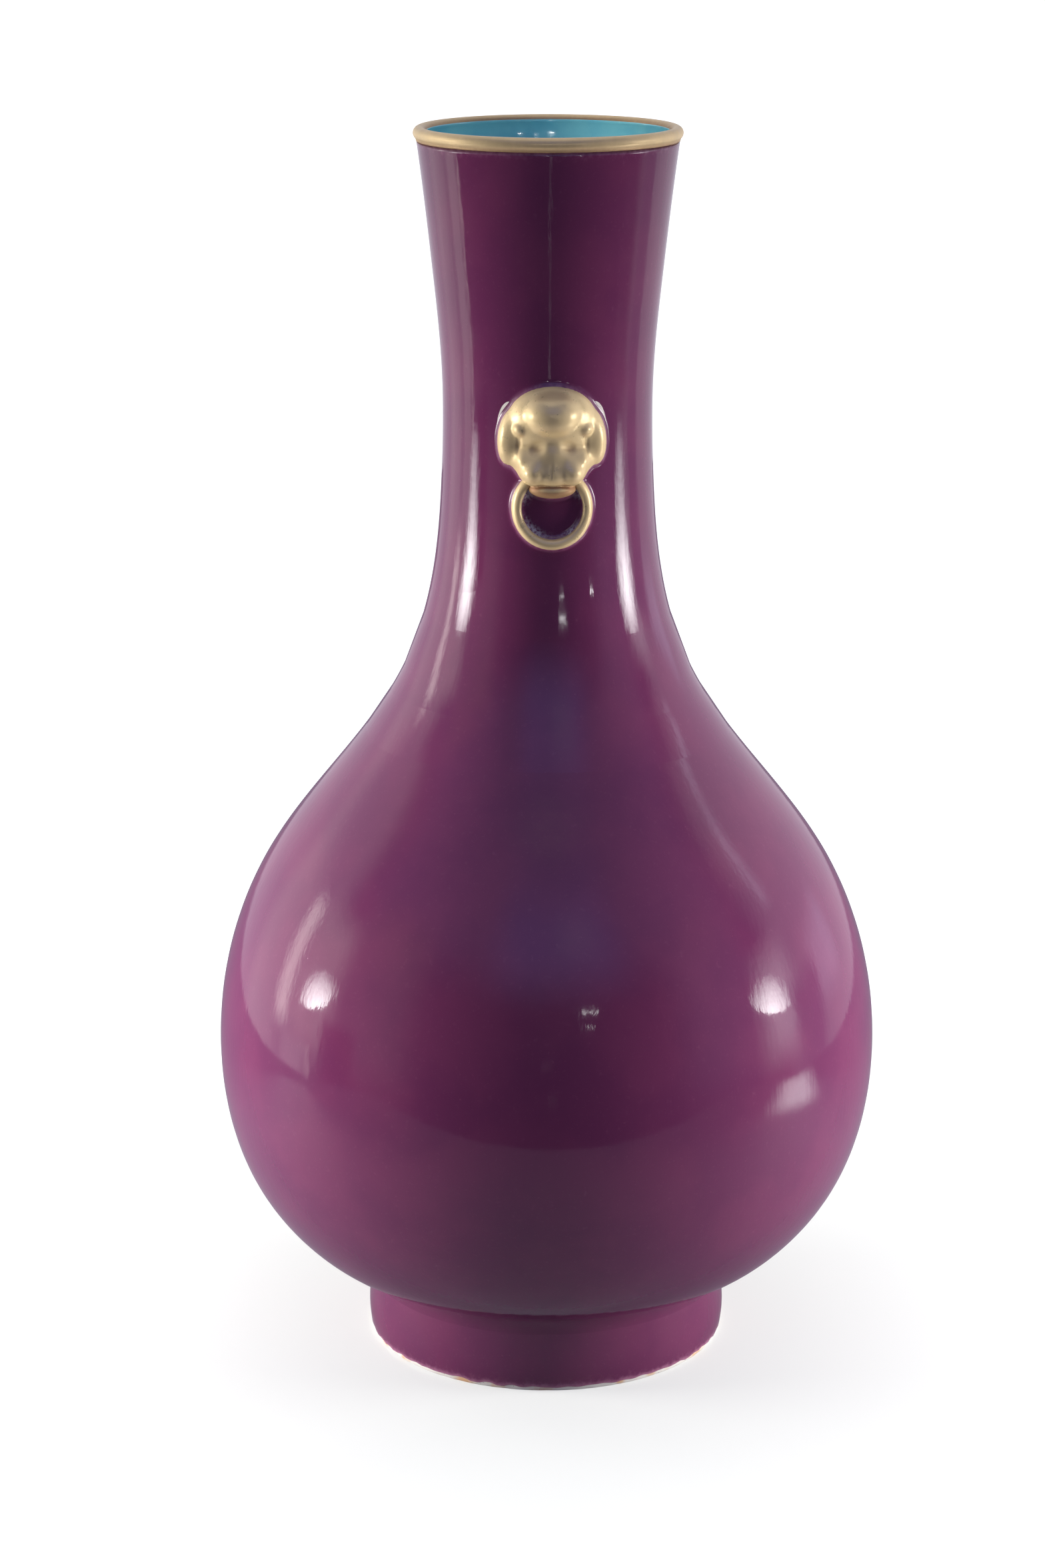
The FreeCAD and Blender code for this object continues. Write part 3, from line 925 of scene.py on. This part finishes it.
def pale_floor():
    """A pale floor that only the camera sees, a little shaded round the foot."""
    material, tree, shader = surface("floor_white")
    shader.inputs["Base Color"].default_value = (*FLOOR_SHADE, 1)
    shader.inputs["Roughness"].default_value = 1.0
    shader.inputs["Specular IOR Level"].default_value = 0.0
    shader.inputs["Emission Color"].default_value = (1, 1, 1, 1)
    place = tree.nodes.new("ShaderNodeTexCoord")
    reach = tree.nodes.new("ShaderNodeVectorMath")
    reach.operation = "LENGTH"
    tree.links.new(place.outputs["Object"], reach.inputs[0])
    glow = ramp(tree, reach.outputs["Value"], *FLOOR_FADE, FLOOR_GLOW, 1.0)
    tree.links.new(glow, shader.inputs["Emission Strength"])
    floor = stage_sheet("floor", FLOOR_SIDE, -FLOOR_SIDE, FLOOR_SIDE, 0, material)
    floor.visible_diffuse = floor.visible_glossy = False
    floor.visible_shadow = floor.visible_transmission = False


def studio():
    """White walls beside and behind the vase and a dim room in front; the camera sees plain white."""
    world = bpy.data.worlds.new("studio")
    bpy.context.scene.world = world
    world.use_nodes = True
    tree = world.node_tree
    tree.nodes.clear()
    place = tree.nodes.new("ShaderNodeTexCoord")
    turn = tree.nodes.new("ShaderNodeVectorRotate")
    turn.rotation_type = "Z_AXIS"
    turn.inputs["Angle"].default_value = -VIEW_TURN
    tree.links.new(place.outputs["Generated"], turn.inputs["Vector"])
    parts = tree.nodes.new("ShaderNodeSeparateXYZ")
    tree.links.new(turn.outputs[0], parts.inputs[0])
    ahead = calc(tree, "MULTIPLY", parts.outputs["Y"], -1.0)
    azimuth = calc(tree, "DEGREES", calc(tree, "ARCTAN2", parts.outputs["X"], ahead))
    elevation = calc(tree, "DEGREES", calc(tree, "ARCSINE", parts.outputs["Z"]))
    behind = ramp(tree, calc(tree, "ABSOLUTE", azimuth), *WALL_EDGE)
    light = mixed(tree, behind, ROOM, WALLS)
    for patch in PATCHES:
        light = mixed(tree, panel(tree, azimuth, elevation, patch), light, patch[5])
    room = tree.nodes.new("ShaderNodeBackground")
    tree.links.new(light, room.inputs["Color"])
    plain = tree.nodes.new("ShaderNodeBackground")
    plain.inputs["Color"].default_value = (1, 1, 1, 1)
    path = tree.nodes.new("ShaderNodeLightPath")
    both = tree.nodes.new("ShaderNodeMixShader")
    tree.links.new(path.outputs["Is Camera Ray"], both.inputs[0])
    tree.links.new(room.outputs[0], both.inputs[1])
    tree.links.new(plain.outputs[0], both.inputs[2])
    output = tree.nodes.new("ShaderNodeOutputWorld")
    tree.links.new(both.outputs[0], output.inputs["Surface"])


TABLE_WHITE = (0.29, 0.275, 0.31)
TABLE_SPOT = (0.46, -0.06, 0.09, 0.06, 0.08)   # the glowing spot, a painted pool of light: its middle, half sizes and softness
TABLE_SPOT_LIGHT = 3.2
TABLE_SIDE, TABLE_FRONT, TABLE_BACK, TABLE_DROP = 0.6, -0.376, 1.6, 0.0004
FLOOR_SHADE = (0.38, 0.385, 0.355)
FLOOR_SIDE = 30.0
FLOOR_FADE = (0.08, 0.42)     # the floor goes from its glow by the vase to white over these distances
FLOOR_GLOW = 0.58
ROOM = (0.04, 0.045, 0.08)
WALLS = (0.72, 0.72, 0.80)
WALL_EDGE = (86.0, 104.0)     # the room turns into the walls between these azimuths
# Patches of the room, each over those before: azimuth, elevation, half sizes, softness, light.
PATCHES = [
    (0, 64, 90, 34, 24, (0.18, 0.21, 0.40)),         # bluish ceiling in front
    (5, 42, 26, 13, 22, (0.26, 0.30, 0.76)),         # its brighter middle
    (0, 90, 180, 24, 14, (1.00, 1.00, 1.10)),        # soft light overhead
    (-66, 14, 16, 22, 18, (0.30, 0.30, 0.32)),       # left side of the room
    (66, 14, 16, 24, 22, (0.26, 0.26, 0.40)),        # right side of the room
    (14, 43, 9, 6, 12, (0.34, 0.40, 0.84)),          # blue light overhead
    (-92, 9, 11, 16, 12, (1.40, 1.36, 1.30)),        # lighter wall beside the lamp, left
    (-119, 4, 11, 18, 12, (1.20, 1.20, 1.20)),       # lighter wall, left
    (-106, 8, 3.2, 13, 6, (4.2, 3.9, 3.7)),          # bright seam, left
    (-98, -17, 6, 11, 3, (1.35, 1.28, 1.30)),        # lighter wall low on the left, for the neck
    (-90, -17, 0.7, 11, 0.8, (2.6, 2.3, 2.2)),       # its bright edge
    (91, 4, 8, 11, 12, (1.95, 1.95, 2.1)),           # soft glow, right
    (121, 2, 9, 6, 8, (1.15, 1.15, 1.4)),            # lighter wall, right
    (105, 29, 2.0, 7, 5, (1.6, 1.6, 1.9)),           # bright seam, right
    (-77, -5, 7, 7, 4, (0.03, 0.03, 0.03)),          # dark doorway, left
    (105, -7, 8, 11, 7, (0.32, 0.32, 0.42)),         # dark drape, right
]

# Lamps: azimuth, elevation, height aimed at, distance, size, power, spread, and whether the lamp is
# seen only in reflections. The small lamps show as dots on the body, the mouth lamps inside the mouth.
LAMPS = {
    "left_lamp": (-87, 1, 0.26, 0.6, (0.27, 0.24), 0.043, 22, True),
    "left_fill": (-87, -2, 0.13, 0.5, (0.24, 0.24), 1.5, 90, False),
    "left_upper_fill": (-87, 24, 0.33, 0.6, (0.24, 0.24), 0.55, 180, False),
    "right_lamp": (85, 1, 0.26, 0.6, (0.32, 0.24), 0.043, 22, True),
    "right_fill": (85, -2, 0.13, 0.5, (0.24, 0.24), 1.35, 90, False),
    "right_upper_fill": (85, 24, 0.33, 0.6, (0.24, 0.24), 0.2, 180, False),
    "front_fill": (0, 18, 0.05, 1.6, (1.0, 1.0), 0.175, 30, False),
    "small_lamp_0": (13, 12, 0.25, 1.0, (0.024, 0.024), 6e-4, 22, True),
    "small_lamp_1": (16, 12, 0.25, 1.0, (0.024, 0.024), 6e-4, 22, True),
    "small_lamp_2": (14, 7.5, 0.25, 1.0, (0.024, 0.024), 3e-4, 22, True),
    "small_lamp_3": (44, 5.5, 0.25, 1.0, (0.024, 0.024), 1.5e-4, 12, True),
    "body_fill": (0, 4, 0.12, 1.6, (0.1, 0.1), 0.009, 10, False),
    "mouth_fill": (-30, 30, 0.425, 1.0, (0.02, 0.02), 1.35e-3, 3.5, False),
    "strip_lamp": (2, -15, 0.35, 1.0, (0.012, 0.22), 1.2e-4, 22, True),
    "mouth_lamp_0": (-3, 6, 0.39, 1.0, (0.05, 0.025), 12e-4, 12, True),
    "mouth_lamp_1": (28, 6.5, 0.39, 1.0, (0.05, 0.025), 9e-4, 12, True),
    "mouth_lamp_2": (-3, 8.8, 0.39, 1.0, (0.05, 0.025), 3e-4, 12, True),
    "mouth_lamp_3": (12, 8.8, 0.39, 1.0, (0.05, 0.025), 3e-4, 12, True),
    "mouth_lamp_4": (-76, 7.5, 0.39, 1.0, (0.05, 0.025), 8e-4, 12, True),
}

bpy.context.scene.view_settings.view_transform = "Standard"
look()
white_table()
pale_floor()
studio()
for lamp_name, settings in LAMPS.items():
    lamp(lamp_name, *settings)
